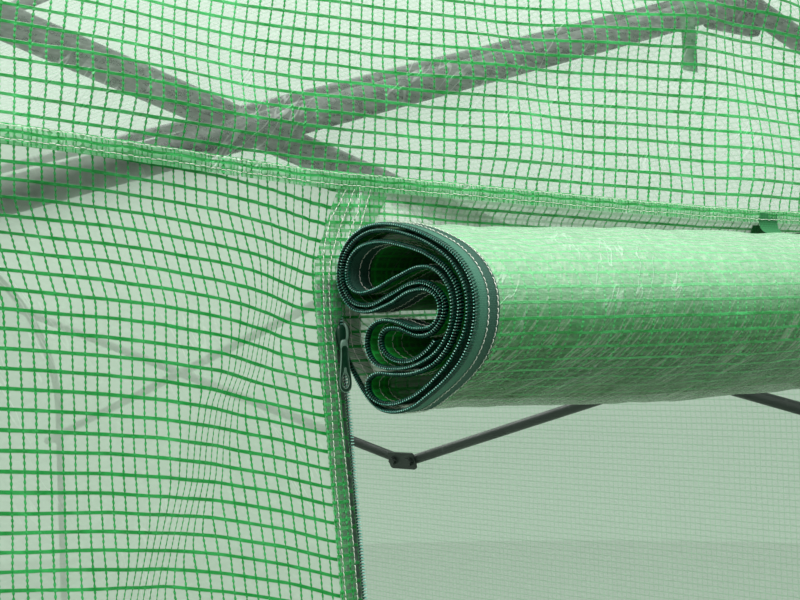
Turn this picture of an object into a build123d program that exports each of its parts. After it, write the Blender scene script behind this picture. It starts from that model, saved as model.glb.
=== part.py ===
from build123d import *
from math import asin, atan2, cos, degrees, hypot, radians, sin, sqrt
import os

# Door end bay of a polytunnel greenhouse, in millimetres.
# X runs to the right as seen from outside the door, Y runs into the tunnel and Z is up.
# The cover is film over a frame of round tube, and the door is rolled up under its header seam.

# Main sizes
TUNNEL_WIDTH = 1900.0
BAY_LENGTH = 2900.0
RIDGE_HEIGHT = 2150.0
BOW_RISE = 700.0
SHOULDER_RADIUS = 500.0
TUBE_D = 19.0
TUBE_WALL = 1.2
FILM = 1.5
DOOR_WIDTH = 860.0
HEADER_DROP = 415.0

# Zip
ZIP_COIL_W = 4.4
ZIP_COIL_T = 2.7
ZIP_GAP = 0.2
ZIP_TAPE_W = 17.0
ZIP_TAPE_T = 0.6
SLIDER_DROP = 93.5

# Braces, with their heights measured down from the ridge
BRACE_TOP_DROP = 256.0
BRACE_LOW_DROP = 523.0
BRACE_CROSS_X = 470.0
BRACE_CROSS_DROP = 389.5
SIDE_LOW_DROP = 765.0
SIDE_HIGH_DROP = 394.0
PLATE = 4.0
NUT_D = 16.0
NUT_T = 7.0

# Seams, straps and feet
SEAM_H = 7.5
SEAM_T = 0.8
HEM_W = 17.0
FOOT_D = 84.0
FOOT_T = 3.0
STRAP_X = 90.0
STRAP_W = 18.0

# Line of the rolled door as seen from its end: out from the wall, and down from the header seam.
# It hangs from the header, passes under the roll and up its front, and lies in folded layers.
ROLL_LINE = [
    (0.0, 0.0), (0.0, 49.0), (0.0, 86.0), (0.0, 108.0), (2.6, 117.0), (12.2, 126.0),
    (23.2, 132.5), (37.2, 137.3), (47.6, 138.4), (62.6, 136.3), (79.1, 128.3), (93.0, 119.8),
    (105.5, 109.0), (112.5, 97.8), (115.6, 84.8), (114.7, 73.1), (108.0, 61.1), (97.2, 51.7),
    (83.2, 44.5), (65.9, 38.3), (47.6, 34.8), (27.7, 36.2), (16.4, 41.7), (7.6, 52.3),
    (5.8, 59.0), (6.2, 65.9), (9.4, 73.0), (20.1, 81.3), (28.1, 82.5), (48.1, 79.2),
    (67.5, 72.6), (82.0, 73.3), (87.0, 76.7), (89.2, 81.7), (88.4, 86.3), (84.9, 90.6),
    (69.8, 93.2), (53.1, 89.0), (44.8, 88.0), (37.1, 89.2), (30.4, 93.9), (28.3, 99.7),
    (29.8, 106.2), (35.1, 111.4), (53.1, 114.5), (73.5, 111.3), (88.1, 103.5), (97.0, 90.5),
    (97.7, 75.7), (88.9, 64.0), (82.6, 60.9), (74.8, 60.2), (56.6, 64.5), (34.5, 71.1),
    (26.5, 72.1), (18.9, 70.5), (14.2, 66.1), (13.3, 59.5), (15.8, 52.8), (22.0, 47.5),
    (38.7, 44.0), (60.7, 47.3), (81.9, 54.2), (98.4, 65.4), (103.0, 73.0), (104.5, 80.7),
    (99.2, 97.5), (86.0, 111.0), (67.8, 117.2), (47.2, 117.9), (38.6, 117.3), (32.7, 118.6),
    (28.3, 122.0), (28.9, 127.6), (34.8, 132.2), (43.3, 134.0), (62.9, 130.7), (83.4, 119.8),
    (98.8, 106.7), (107.9, 92.3), (109.5, 84.6), (109.1, 75.7), (100.8, 60.7), (84.5, 49.3),
    (65.7, 42.1), (44.7, 38.1), (33.6, 38.5), (17.1, 45.5), (11.7, 51.4), (9.1, 58.1),
    (9.2, 64.4), (12.2, 70.8), (16.8, 75.7), (30.6, 79.0), (49.5, 74.2), (67.7, 68.6),
    (75.7, 68.3), (83.4, 70.5), (89.6, 74.6), (92.8, 79.7), (92.5, 85.0), (88.8, 91.2),
    (80.8, 96.4), (71.8, 97.3), (53.5, 92.8), (45.5, 93.3), (40.9, 97.3), (40.7, 102.3),
    (45.3, 106.9), (62.3, 110.6), (79.6, 103.6), (84.6, 99.4),
]
ROLL_FILM = 1.4
ROLL_OVERHANG = 11.0
ROLL_LEAD_INSET = 5.0
TIE_W = 25.0
TIE_T = 1.4

# Sizes that follow
SHOULDER_HEIGHT = RIDGE_HEIGHT - BOW_RISE
HEADER_HEIGHT = RIDGE_HEIGHT - HEADER_DROP
SLIDER_HEIGHT = HEADER_HEIGHT - SLIDER_DROP
BRACE_TOP_HEIGHT = RIDGE_HEIGHT - BRACE_TOP_DROP
BRACE_LOW_HEIGHT = RIDGE_HEIGHT - BRACE_LOW_DROP
BRACE_CROSS_HEIGHT = RIDGE_HEIGHT - BRACE_CROSS_DROP
SIDE_LOW_HEIGHT = RIDGE_HEIGHT - SIDE_LOW_DROP
SIDE_HIGH_HEIGHT = RIDGE_HEIGHT - SIDE_HIGH_DROP
TUBE_R = TUBE_D / 2
HALF = TUNNEL_WIDTH / 2
COVER_IN = TUBE_R
COVER_OUT = COVER_IN + FILM
OVERHANG = TUBE_R + 3.0
HOOP_IN = FILM + TUBE_R
ROLL_LINE_IN = FILM - ZIP_COIL_T / 2
TIE_LIFT = (ROLL_FILM + TIE_T) / 2 + 0.3
ROLL_REACH = max(out for out, down in ROLL_LINE) + TIE_LIFT + TIE_T / 2 - ROLL_LINE_IN
FRONT = (ROLL_REACH - HOOP_IN - BAY_LENGTH - OVERHANG) / 2
FRONT_HOOP = FRONT + HOOP_IN
BACK_HOOP = FRONT_HOOP + BAY_LENGTH
COVER_END = BACK_HOOP + OVERHANG
MID_Y = (FRONT_HOOP + BACK_HOOP) / 2
BACK_PLANE = FRONT_HOOP + TUBE_D

SHOULDER_X = HALF - SHOULDER_RADIUS
RISE = RIDGE_HEIGHT - SHOULDER_HEIGHT
CROWN_DROP = (RISE - SHOULDER_RADIUS)
CROWN_Z = SHOULDER_HEIGHT + (CROWN_DROP ** 2 - SHOULDER_X ** 2) / (2 * CROWN_DROP)
CROWN_RADIUS = RIDGE_HEIGHT - CROWN_Z
CROWN_ANGLE = degrees(atan2(SHOULDER_HEIGHT - CROWN_Z, SHOULDER_X))

ZIP_X = DOOR_WIDTH / 2
JAMB_COIL_X = ZIP_X + ZIP_GAP / 2
LEAD_COIL_X = ZIP_X - ZIP_GAP / 2
ROLL_END = ZIP_X + ROLL_OVERHANG
LEAD_END = ZIP_X - ROLL_LEAD_INSET
SLEEVE_BOTTOM = SHOULDER_HEIGHT - 20.0

os.makedirs("parts", exist_ok=True)


def save(name, shape):
    shape.label = name
    export_step(shape, "parts/" + name + ".step")


def mirrored(shape):
    return mirror(shape, Plane.YZ)


def front_plane(y):
    """Sketch plane facing out of the door, with X across and Z up."""
    return Plane(origin=(0, y, 0), x_dir=(1, 0, 0), z_dir=(0, -1, 0))


def tube(start, end, outer=TUBE_D, wall=TUBE_WALL):
    """Straight round tube between two points, open at both ends."""
    a = Vector(*start)
    b = Vector(*end)
    plane = Plane(origin=a, z_dir=b - a)
    ring = Circle(outer / 2) - Circle(outer / 2 - wall)
    return extrude(plane * ring, amount=(b - a).length)


def rod(start, end, diameter):
    """Straight solid rod between two points."""
    a = Vector(*start)
    b = Vector(*end)
    return extrude(Plane(origin=a, z_dir=b - a) * Circle(diameter / 2), amount=(b - a).length)


def block(x0, x1, y0, y1, z0, z1):
    """Solid between six limits."""
    box = Box(x1 - x0, y1 - y0, z1 - z0)
    return Pos((x0 + x1) / 2, (y0 + y1) / 2, (z0 + z1) / 2) * box


def bow(offset):
    """Three-centred line over the tunnel, from the right shoulder to the left one."""
    corner = SHOULDER_RADIUS + offset
    crown = CROWN_RADIUS + offset
    right = CenterArc((SHOULDER_X, SHOULDER_HEIGHT), corner, 0, CROWN_ANGLE)
    top = CenterArc((0, CROWN_Z), crown, CROWN_ANGLE, 180 - 2 * CROWN_ANGLE)
    left = CenterArc((-SHOULDER_X, SHOULDER_HEIGHT), corner, 180 - CROWN_ANGLE, CROWN_ANGLE)
    return right + top + left


def bow_x(height):
    """Half width of the hoop's centre line at a height."""
    if height <= SHOULDER_HEIGHT:
        return HALF
    corner_top = SHOULDER_HEIGHT + SHOULDER_RADIUS * sin(radians(CROWN_ANGLE))
    if height <= corner_top:
        return SHOULDER_X + sqrt(SHOULDER_RADIUS ** 2 - (height - SHOULDER_HEIGHT) ** 2)
    return sqrt(CROWN_RADIUS ** 2 - (height - CROWN_Z) ** 2)


def end_outline():
    """Face of the whole end wall, from the ground to the hoop."""
    edge = HALF + COVER_IN
    sides = Line((edge, 0), (edge, SHOULDER_HEIGHT))
    sides += Line((-edge, SHOULDER_HEIGHT), (-edge, 0))
    ground = Line((-edge, 0), (edge, 0))
    return make_face(bow(COVER_IN) + sides + ground)


# Hoops: two legs with round feet, and a bent arch with a swaged collar over each leg
def leg(y):
    post = tube((HALF, y, FOOT_T), (HALF, y, SLEEVE_BOTTOM))
    foot = Pos(HALF, y, FOOT_T / 2) * Cylinder(FOOT_D / 2, FOOT_T)
    return post + foot


def arch(y):
    """Bent arch, whose section has sixteen sides to keep the long bends light."""
    plane = front_plane(y)
    path = Line((HALF, SLEEVE_BOTTOM), (HALF, SHOULDER_HEIGHT)) + bow(0)
    path += Line((-HALF, SHOULDER_HEIGHT), (-HALF, SLEEVE_BOTTOM))
    start = Plane(origin=(HALF, y, SLEEVE_BOTTOM), z_dir=(0, 0, 1))
    return sweep(start * RegularPolygon(TUBE_R, 16), path=plane * path)


foot_inset = FOOT_D / 2 + 1.0
front_leg = leg(FRONT_HOOP)
back_leg = leg(BACK_HOOP)
front_trim = block(0, HALF + COVER_IN, FRONT + FILM, FRONT + 200, 0, FOOT_T)
side_trim = block(0, HALF + COVER_IN, BACK_HOOP - 200, BACK_HOOP + OVERHANG, 0, FOOT_T)
front_leg = (front_leg & front_trim) + (front_leg - block(0, 1200, FRONT - 100, FRONT + 300, -1, FOOT_T))
back_leg = (back_leg & side_trim) + (back_leg - block(0, 1200, BACK_HOOP - 300, COVER_END + 300, -1, FOOT_T))
save("front_leg_right", front_leg)
save("front_leg_left", mirrored(front_leg))
save("back_leg_right", back_leg)
save("back_leg_left", mirrored(back_leg))
front_arch = arch(FRONT_HOOP)
save("front_arch", front_arch)
save("back_arch", arch(BACK_HOOP))

# Rails along the tunnel: one under the ridge, two on the roof and two on the ground
ridge_z = RIDGE_HEIGHT - TUBE_D
save("ridge_rail", tube((0, FRONT_HOOP - TUBE_R, ridge_z), (0, BACK_HOOP + TUBE_R, ridge_z)))
ROOF_RAIL_ANGLE = 65.0
rail_r = CROWN_RADIUS - TUBE_D
rail_x = rail_r * cos(radians(ROOF_RAIL_ANGLE))
rail_z = CROWN_Z + rail_r * sin(radians(ROOF_RAIL_ANGLE))
roof_rail = tube((rail_x, FRONT_HOOP - TUBE_R, rail_z), (rail_x, BACK_HOOP + TUBE_R, rail_z))
save("roof_rail_right", roof_rail)
save("roof_rail_left", mirrored(roof_rail))
ground_x = HALF - TUBE_D
ground_z = FOOT_T + TUBE_R
ground_rail = tube((ground_x, FRONT_HOOP - TUBE_R, ground_z), (ground_x, BACK_HOOP + TUBE_R, ground_z))
save("ground_rail_right", ground_rail)
save("ground_rail_left", mirrored(ground_rail))

# Crossed braces behind the end wall: they meet at two brackets over the middle of the door
brace_slope = (BRACE_TOP_HEIGHT - BRACE_CROSS_HEIGHT) / BRACE_CROSS_X
fall_slope = (BRACE_CROSS_HEIGHT - BRACE_LOW_HEIGHT) / BRACE_CROSS_X
PIN_X = 16.0
rise_end_x = bow_x(BRACE_TOP_HEIGHT - brace_slope * (HALF - 45.0)) - 8.7
rise_end_z = BRACE_TOP_HEIGHT - brace_slope * rise_end_x
rise_brace = tube((PIN_X, FRONT_HOOP, BRACE_TOP_HEIGHT - brace_slope * PIN_X),
                  (rise_end_x - 12.0, FRONT_HOOP, rise_end_z + brace_slope * 12.0))
fall_end_x = bow_x(BRACE_LOW_HEIGHT + fall_slope * (HALF - 198.0)) - 15.3
fall_end_z = BRACE_LOW_HEIGHT + fall_slope * fall_end_x
fall_brace = tube((PIN_X, BACK_PLANE, BRACE_LOW_HEIGHT + fall_slope * PIN_X),
                  (fall_end_x, BACK_PLANE, fall_end_z))
save("front_brace_rising_right", rise_brace)
save("front_brace_rising_left", mirrored(rise_brace))
save("front_brace_falling_right", fall_brace)
save("front_brace_falling_left", mirrored(fall_brace))


def hex_nut(x, y, z):
    """Hexagon nut on the back of a bracket."""
    return extrude(front_plane(y + NUT_T) * Pos(x, z) * RegularPolygon(NUT_D / 2, 6), amount=NUT_T)


def bracket(y, z, slope):
    """Back plate that ties two brace ends, with a nut on each."""
    outline = RectangleRounded(76, 34, 8)
    plate = extrude(front_plane(y + PLATE) * Pos(0, z) * outline, amount=PLATE)
    nuts = hex_nut(-24, y + PLATE, z + slope * 24) + hex_nut(24, y + PLATE, z + slope * 24)
    return plate + nuts


save("front_bracket_top", bracket(FRONT_HOOP + TUBE_R, BRACE_TOP_HEIGHT - 6, -0.1))
save("front_bracket_low", bracket(BACK_PLANE + TUBE_R, BRACE_LOW_HEIGHT + 6, 0.1))

clamp_z = rise_end_z + brace_slope * 8.0
clamp_x = bow_x(clamp_z - 3)
clamp_y = FRONT_HOOP + TUBE_R
clamp_plate = extrude(front_plane(clamp_y + PLATE) * Pos(clamp_x - 34, clamp_z + 8) * Rot(0, 0, -14.5)
                      * SlotOverall(84, 22), amount=PLATE)
clamp_plate += hex_nut(clamp_x - 4, clamp_y + PLATE, clamp_z)
clamp_plate += hex_nut(clamp_x - 52, clamp_y + PLATE, clamp_z + 12)
save("front_brace_clamp_right", clamp_plate)
save("front_brace_clamp_left", mirrored(clamp_plate))

# Crossed braces along each side: one V and one roof-shaped pair, tied at mid bay
hoop_outer = Circle(TUBE_R)
inner_low = (HALF - TUBE_D, SIDE_LOW_HEIGHT)
high_angle = asin((SIDE_HIGH_HEIGHT - SHOULDER_HEIGHT) / SHOULDER_RADIUS)
inner_r = SHOULDER_RADIUS - TUBE_D
inner_high = (SHOULDER_X + inner_r * cos(high_angle), SHOULDER_HEIGHT + inner_r * sin(high_angle))
side_run = hypot(inner_high[0] - inner_low[0], inner_high[1] - inner_low[1])
side_nx = -(inner_high[1] - inner_low[1]) / side_run
side_nz = (inner_high[0] - inner_low[0]) / side_run


def side_bracket(x, z, lift):
    """Plate on the inner side of two brace ends, with a nut on each."""
    normal = Vector(side_nx, 0, side_nz)
    face = Plane(origin=Vector(x, MID_Y, z) + normal * (TUBE_R - TUBE_WALL / 2), x_dir=(0, 1, 0), z_dir=normal)
    up = 1 if face.y_dir.Z > 0 else -1
    plate = extrude(face * Pos(0, up * lift) * RectangleRounded(76, 34, 8), amount=PLATE)
    for side in (-24, 24):
        plate += extrude(face * Pos(side, up * lift, PLATE) * RegularPolygon(NUT_D / 2, 6), amount=NUT_T)
    return plate


def side_pair(middle, ends, lift):
    """Two braces from one bracket at mid bay out to both hoops."""
    parts = side_bracket(middle[0], middle[1], lift)
    for y in (FRONT_HOOP, BACK_HOOP):
        way = 1 if y > MID_Y else -1
        near = (middle[0], MID_Y + way * 3.0, middle[1])
        parts += tube(near, (ends[0], y, ends[1]))
    return parts


low_pair = side_pair(inner_low, inner_high, 6.0)
save("side_brace_low_right", low_pair)
save("side_brace_low_left", mirrored(low_pair))
shift = (side_nx * TUBE_D, side_nz * TUBE_D)
high_mid = (inner_high[0] + shift[0], inner_high[1] + shift[1])
high_end = (inner_low[0] + shift[0], inner_low[1] + shift[1])
high_pair = side_pair(high_mid, high_end, -6.0)
for y in (FRONT_HOOP, BACK_HOOP):
    boss = rod((high_end[0], y, high_end[1]), (HALF, y, SIDE_LOW_HEIGHT - 5), 14.0)
    boss = boss - rod((HALF, y, SIDE_LOW_HEIGHT - 200), (HALF, y, SIDE_LOW_HEIGHT + 200), TUBE_D)
    bore = rod((high_end[0], y, high_end[1]), (high_mid[0], MID_Y, high_mid[1]), TUBE_D - 0.2)
    high_pair += boss - bore
save("side_brace_high_right", high_pair)
save("side_brace_high_left", mirrored(high_pair))

# End wall film: two panels beside the door and one over it
wall = extrude(front_plane(FRONT + FILM) * end_outline(), amount=FILM)
panel_edge = JAMB_COIL_X + ZIP_COIL_W
right_cut = block(panel_edge, 1200, FRONT - 10, FRONT + 10, -10, HEADER_HEIGHT)
panel = wall & right_cut
gable = wall & block(-1200, 1200, FRONT - 10, FRONT + 10, HEADER_HEIGHT, 3000)
save("front_panel_right", panel)
save("front_panel_left", mirrored(panel))
save("front_gable_panel", gable)

# Header seam: a doubled band across the whole end wall
seam_half = bow_x(HEADER_HEIGHT) - 2.0
seam = block(-seam_half, seam_half, FRONT - SEAM_T, FRONT, HEADER_HEIGHT, HEADER_HEIGHT + SEAM_H)
save("header_seam", seam)

# Jambs: a stitched hem on the film, and the fixed half of the zip with its tape behind the film
hem = block(panel_edge + 1.0, panel_edge + 1.0 + HEM_W, FRONT - SEAM_T, FRONT, 0, HEADER_HEIGHT)
save("jamb_hem_right", hem)
save("jamb_hem_left", mirrored(hem))
coil_y0 = FRONT + FILM - ZIP_COIL_T
coil = block(JAMB_COIL_X, panel_edge, coil_y0, FRONT + FILM, 0, HEADER_HEIGHT)
tape = block(JAMB_COIL_X + 0.6, JAMB_COIL_X + ZIP_TAPE_W, FRONT + FILM, FRONT + FILM + ZIP_TAPE_T, 0, HEADER_HEIGHT)
jamb_zip = coil + tape
save("jamb_zip_right", jamb_zip)
save("jamb_zip_left", mirrored(jamb_zip))

# Rolled door: one long strip of film, wound in folded layers and hanging from the header seam
roll_plane = Plane(origin=(0, 0, 0), x_dir=(0, 1, 0), z_dir=(1, 0, 0))
ROLL_Y = FRONT + ROLL_LINE_IN
roll_points = [(ROLL_Y - out, HEADER_HEIGHT - down) for out, down in ROLL_LINE]
roll_curve = Spline(*roll_points)
ROLL_TURN = radians(14.0)
ROLL_FINE = 1.0


def bend_places(curve, start, end):
    """Lengths along a curve where its direction has turned by one step, or it has run straight for 40 mm."""
    places = [start]
    heading = curve.tangent_at(start, position_mode=PositionMode.LENGTH)
    along = start + ROLL_FINE
    while along < end - 2 * ROLL_FINE:
        way = curve.tangent_at(along, position_mode=PositionMode.LENGTH)
        if way.get_angle(heading) > degrees(ROLL_TURN) or along - places[-1] > 40.0:
            places.append(along)
            heading = way
        along += ROLL_FINE
    return places + [end]


def strip_face(curve, places, thickness, lift=0.0):
    """Section of a strip of even thickness that follows a curve, lifted off it to its outer side."""
    sides = []
    for shift in (lift + thickness / 2, lift - thickness / 2):
        side = []
        for along in places:
            place = curve.position_at(along, position_mode=PositionMode.LENGTH)
            way = curve.tangent_at(along, position_mode=PositionMode.LENGTH)
            side.append((place.X - shift * way.Y, place.Y + shift * way.X))
        sides.append(side)
    return make_face(Polyline(*sides[0], *reversed(sides[1]), close=True))


roll_places = bend_places(roll_curve, 0.2, roll_curve.length)
film_face = strip_face(roll_curve, roll_places, ROLL_FILM)
coil_face = strip_face(roll_curve, roll_places, ZIP_COIL_T)


def zone(out0, out1, down0, down1):
    """Rectangle in the end view of the roll."""
    centre = Pos(ROLL_Y - (out0 + out1) / 2, HEADER_HEIGHT - (down0 + down1) / 2)
    return centre * Rectangle(out1 - out0, down1 - down0)


LEAVES_AT = 102.0
# The strip is narrower where it leaves the sliders, and spreads over the jambs in the roll
hang_zone = zone(-4.0, 3.4, -1.0, LEAVES_AT)
lead_zone = zone(-4.0, 20.0, LEAVES_AT - 0.1, LEAVES_AT + 31.0)
link_zone = zone(19.9, 26.0, LEAVES_AT + 17.0, LEAVES_AT + 37.0)
narrow_zone = hang_zone + lead_zone + link_zone
roll_half = ROLL_END - ZIP_COIL_W
lead_half = LEAD_END - ZIP_COIL_W
door = extrude(roll_plane.offset(-roll_half) * (film_face - narrow_zone), amount=2 * roll_half)
door += extrude(roll_plane.offset(-lead_half) * (film_face & narrow_zone), amount=2 * lead_half)
save("rolled_door", door)
door_coil = extrude(roll_plane.offset(roll_half) * (coil_face - narrow_zone), amount=ZIP_COIL_W)
door_coil += extrude(roll_plane.offset(lead_half) * (coil_face & lead_zone), amount=ZIP_COIL_W)
door_coil += extrude(roll_plane.offset(lead_half) * (coil_face & link_zone), amount=ROLL_END - lead_half)
door_coil += extrude(roll_plane.offset(lead_half) * (coil_face & hang_zone), amount=LEAD_COIL_X - lead_half)
save("door_zip_right", door_coil)
save("door_zip_left", mirrored(door_coil))

# Sliders: two plates with a wedge between them and an arched bridge for the pull
SLIDER_W = 13.0
SLIDER_H = 16.0
SLIDER_PLATE = 2.0
BRIDGE_OUT = 6.0
slider_front = coil_y0 - 0.6
slider_back = FRONT + FILM + ZIP_TAPE_T + 0.2


def slider_plate(y):
    """Shield-shaped plate with its front face at y."""
    outline = Rectangle(SLIDER_W, SLIDER_H)
    outline = chamfer(outline.vertices().group_by(Axis.Y)[0], 3.0)
    outline = chamfer(outline.vertices().group_by(Axis.Y)[-1], 1.0)
    return extrude(front_plane(y + SLIDER_PLATE) * Pos(ZIP_X, SLIDER_HEIGHT) * outline, amount=SLIDER_PLATE)


front_face_y = slider_front - SLIDER_PLATE
body = slider_plate(front_face_y) + slider_plate(slider_back)
wedge = block(ZIP_X - 0.09, ZIP_X + 0.09, slider_front, slider_back, SLIDER_HEIGHT - SLIDER_H / 2 + 1, SLIDER_HEIGHT + 2)
body += wedge
bridge_plane = Plane(origin=(ZIP_X, 0, 0), x_dir=(0, 1, 0), z_dir=(1, 0, 0)).offset(-1.3)
bridge_foot = front_face_y
outer = Pos(bridge_foot, SLIDER_HEIGHT) * Ellipse(BRIDGE_OUT, 7.0)
inner = Pos(bridge_foot, SLIDER_HEIGHT) * Ellipse(BRIDGE_OUT - 1.8, 5.0)
half_plane = Pos(bridge_foot - 10, SLIDER_HEIGHT) * Rectangle(20, 20)
bridge = extrude(bridge_plane * ((outer - inner) & half_plane), amount=2.6)
slider = body + bridge
save("zip_slider_right", slider)
save("zip_slider_left", mirrored(slider))

# Pulls: a flat tab with an eye over the bridge and a D-shaped hole at its foot
PULL_W = 9.6
PULL_L = 36.0
PULL_T = 1.6
PULL_LEAN = 6.0
EYE_DROP = 6.2
pull_y = front_face_y - 1.4
eye_z = SLIDER_HEIGHT + 2.6 - EYE_DROP
tab = Pos(0, EYE_DROP - PULL_L / 2) * RectangleRounded(PULL_W, PULL_L, 3.0)
eye = RectangleRounded(4.6, 9.0, 1.0)
d_hole = Pos(0, EYE_DROP - PULL_L + 6.2) * RectangleRounded(5.8, 8.4, 2.4)
pull_face = Pos(ZIP_X, eye_z) * Rot(0, 0, PULL_LEAN) * (tab - eye - d_hole)
pull = extrude(front_plane(pull_y) * pull_face, amount=PULL_T)
save("zip_pull_right", pull)
save("zip_pull_left", mirrored(pull))


# Roll tie at mid door: a strap from the header seam round the roll and back up behind it
TIE_TOP_INDEX = 20
tie_run = 0.0
for before, after in zip(ROLL_LINE[:TIE_TOP_INDEX], ROLL_LINE[1:TIE_TOP_INDEX + 1]):
    tie_run += hypot(after[0] - before[0], after[1] - before[1])
tie_places = bend_places(roll_curve, 2.0, tie_run)
tie_face = strip_face(roll_curve, tie_places, TIE_T, TIE_LIFT)
tie_head = [(1.75, -6.0), (3.0, 2.0), (14.0, 16.0)]
tie_head = [(ROLL_Y - out, HEADER_HEIGHT - down) for out, down in tie_head]
last = roll_curve.position_at(tie_run, position_mode=PositionMode.LENGTH)
last_way = roll_curve.tangent_at(tie_run, position_mode=PositionMode.LENGTH)
tie_head.append((last.X - TIE_LIFT * last_way.Y, last.Y + TIE_LIFT * last_way.X))
tie_face += trace(Polyline(*tie_head), line_width=TIE_T)
tie = extrude(roll_plane.offset(-TIE_W / 2) * tie_face, amount=TIE_W)
save("roll_tie", tie)

# Cover straps: flat webbing sewn on the gable film over the brace bracket
strap = block(STRAP_X - STRAP_W / 2, STRAP_X + STRAP_W / 2, FRONT - 1.0, FRONT, HEADER_HEIGHT + 92, HEADER_HEIGHT + 210)
save("cover_strap_right", strap)
save("cover_strap_left", mirrored(strap))

# Tunnel cover: two upright side sheets and a bent roof sheet over the hoops
side = block(HALF + COVER_IN, HALF + COVER_OUT, FRONT, COVER_END, 0, SHOULDER_HEIGHT)
save("side_cover_right", side)
save("side_cover_left", mirrored(side))
edges = Line((HALF + COVER_IN, SHOULDER_HEIGHT), (HALF + COVER_OUT, SHOULDER_HEIGHT))
edges += Line((-HALF - COVER_IN, SHOULDER_HEIGHT), (-HALF - COVER_OUT, SHOULDER_HEIGHT))
roof_face = make_face(bow(COVER_IN) + bow(COVER_OUT) + edges)
roof = extrude(front_plane(COVER_END) * roof_face, amount=COVER_END - FRONT)
save("roof_cover", roof)
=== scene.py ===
from math import cos, pi, radians, sin

import bpy
import numpy as np
from mathutils import Matrix, Vector


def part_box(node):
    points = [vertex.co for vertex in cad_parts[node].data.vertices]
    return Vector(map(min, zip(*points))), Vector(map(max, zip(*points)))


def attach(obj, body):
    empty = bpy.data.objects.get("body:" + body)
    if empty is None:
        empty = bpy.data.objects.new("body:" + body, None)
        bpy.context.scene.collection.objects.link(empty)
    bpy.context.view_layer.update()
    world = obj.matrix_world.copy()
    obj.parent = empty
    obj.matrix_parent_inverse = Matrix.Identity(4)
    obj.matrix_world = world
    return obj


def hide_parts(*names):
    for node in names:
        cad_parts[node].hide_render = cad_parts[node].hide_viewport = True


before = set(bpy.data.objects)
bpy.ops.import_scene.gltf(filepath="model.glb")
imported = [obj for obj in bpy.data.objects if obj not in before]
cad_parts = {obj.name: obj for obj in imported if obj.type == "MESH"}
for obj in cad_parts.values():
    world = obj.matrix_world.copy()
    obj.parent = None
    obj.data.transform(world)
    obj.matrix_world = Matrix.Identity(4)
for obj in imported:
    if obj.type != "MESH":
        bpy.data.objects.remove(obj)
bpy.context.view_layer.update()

# Viewpoint. The visitor stands outside the door and to its left, level with the top of the
# rolled door, and looks along the wall across the doorway.
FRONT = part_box("front_gable_panel")[0][1]
YAW = radians(42.0)
PITCH = radians(1.38)
TILT = radians(2.0)
STAND = (-0.9547, FRONT - 0.6297, 1.6392)
LENS = 63.45
ahead = Vector((sin(YAW) * cos(PITCH), cos(YAW) * cos(PITCH), sin(PITCH)))
level = Vector((cos(YAW), -sin(YAW), 0.0))
above = level.cross(ahead)
to_right = level * cos(TILT) - above * sin(TILT)
to_top = above * cos(TILT) + level * sin(TILT)
camera = bpy.data.objects.new("camera", bpy.data.cameras.new("camera"))
camera.matrix_world = Matrix((to_right, to_top, -ahead)).transposed().to_4x4()
camera.location = STAND
camera.data.lens = LENS
camera.data.clip_start = 0.01
bpy.context.collection.objects.link(camera)
bpy.context.scene.camera = camera

# Tunnel frame: hoops, rails and braces of round steel tube with a dark grey-green powder coat.
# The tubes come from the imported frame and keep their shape.


class Shade:
    """A node's output in a material. Sums and products of it add Math nodes."""

    def __init__(self, tree, out=None):
        self.tree = tree
        self.out = out

    def add(self, kind, inputs=None, output=0, **settings):
        """New node of a kind: settings first, then the values or links of its sockets."""
        node = self.tree.nodes.new("ShaderNode" + kind)
        for name, value in settings.items():
            if name == "stops":
                ramp = node.color_ramp.elements
                while len(ramp) < len(value):
                    ramp.new(0.5)
                for stop, (place, colour) in zip(ramp, value):
                    stop.position = place
                    stop.color = colour
            else:
                setattr(node, name, value)
        for name, value in (inputs or {}).items():
            if isinstance(value, Shade):
                self.tree.links.new(value.out, node.inputs[name])
            else:
                node.inputs[name].default_value = value
        return Shade(self.tree, node.outputs[output] if len(node.outputs) else None)

    def math(self, operation, other=0.0):
        """Math node on this value and another."""
        return self.add("Math", {0: self, 1: other}, operation=operation)

    def __add__(self, other):
        return self.math("ADD", other)

    def __sub__(self, other):
        return self.math("SUBTRACT", other)

    def __rsub__(self, other):
        return self.add("Math", {0: other, 1: self}, operation="SUBTRACT")

    def __mul__(self, other):
        return self.math("MULTIPLY", other)

    __radd__ = __add__
    __rmul__ = __mul__

    def rise(self, low, high, start=0.0, end=1.0):
        """Smooth step from start to end as the value goes from low to high."""
        return self.add("MapRange", {0: self, 1: low, 2: high, 3: start, 4: end},
                        interpolation_type="SMOOTHSTEP")

    def tint(self, first, second):
        """Colour that goes from the first to the second as the value goes from 0 to 1."""
        return self.add("Mix", {0: self, 6: first, 7: second}, output=2, data_type="RGBA")

    def noise(self, place, scale, detail=2.0, roughness=0.5):
        """Clouds between 0 and 1, so many to the metre or to a unit of a stretched place."""
        return self.add("TexNoise", {"Vector": place, "Scale": scale, "Detail": detail,
                                     "Roughness": roughness})

    def axes(self):
        """The three numbers of a vector."""
        node = self.add("SeparateXYZ", {0: self}).out.node
        return [Shade(self.tree, socket) for socket in node.outputs]

    def stretch(self, scale, turn=(0.0, 0.0, 0.0)):
        """Place scaled along each axis after a turn."""
        return self.add("Mapping", {"Vector": self, "Rotation": turn, "Scale": scale})


def rgb(red, green, blue):
    """Colour on screen, 0 to 255, as the linear value that a socket takes."""
    parts = [(c / 255 / 12.92) if c / 255 <= 0.04045 else ((c / 255 + 0.055) / 1.055) ** 2.4
             for c in (red, green, blue)]
    return (*parts, 1.0)


def new_finish(name):
    """Empty material and the start of its shader."""
    finish = bpy.data.materials.new(name)
    finish.use_nodes = True
    finish.node_tree.nodes.clear()
    return finish, Shade(finish.node_tree)


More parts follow.
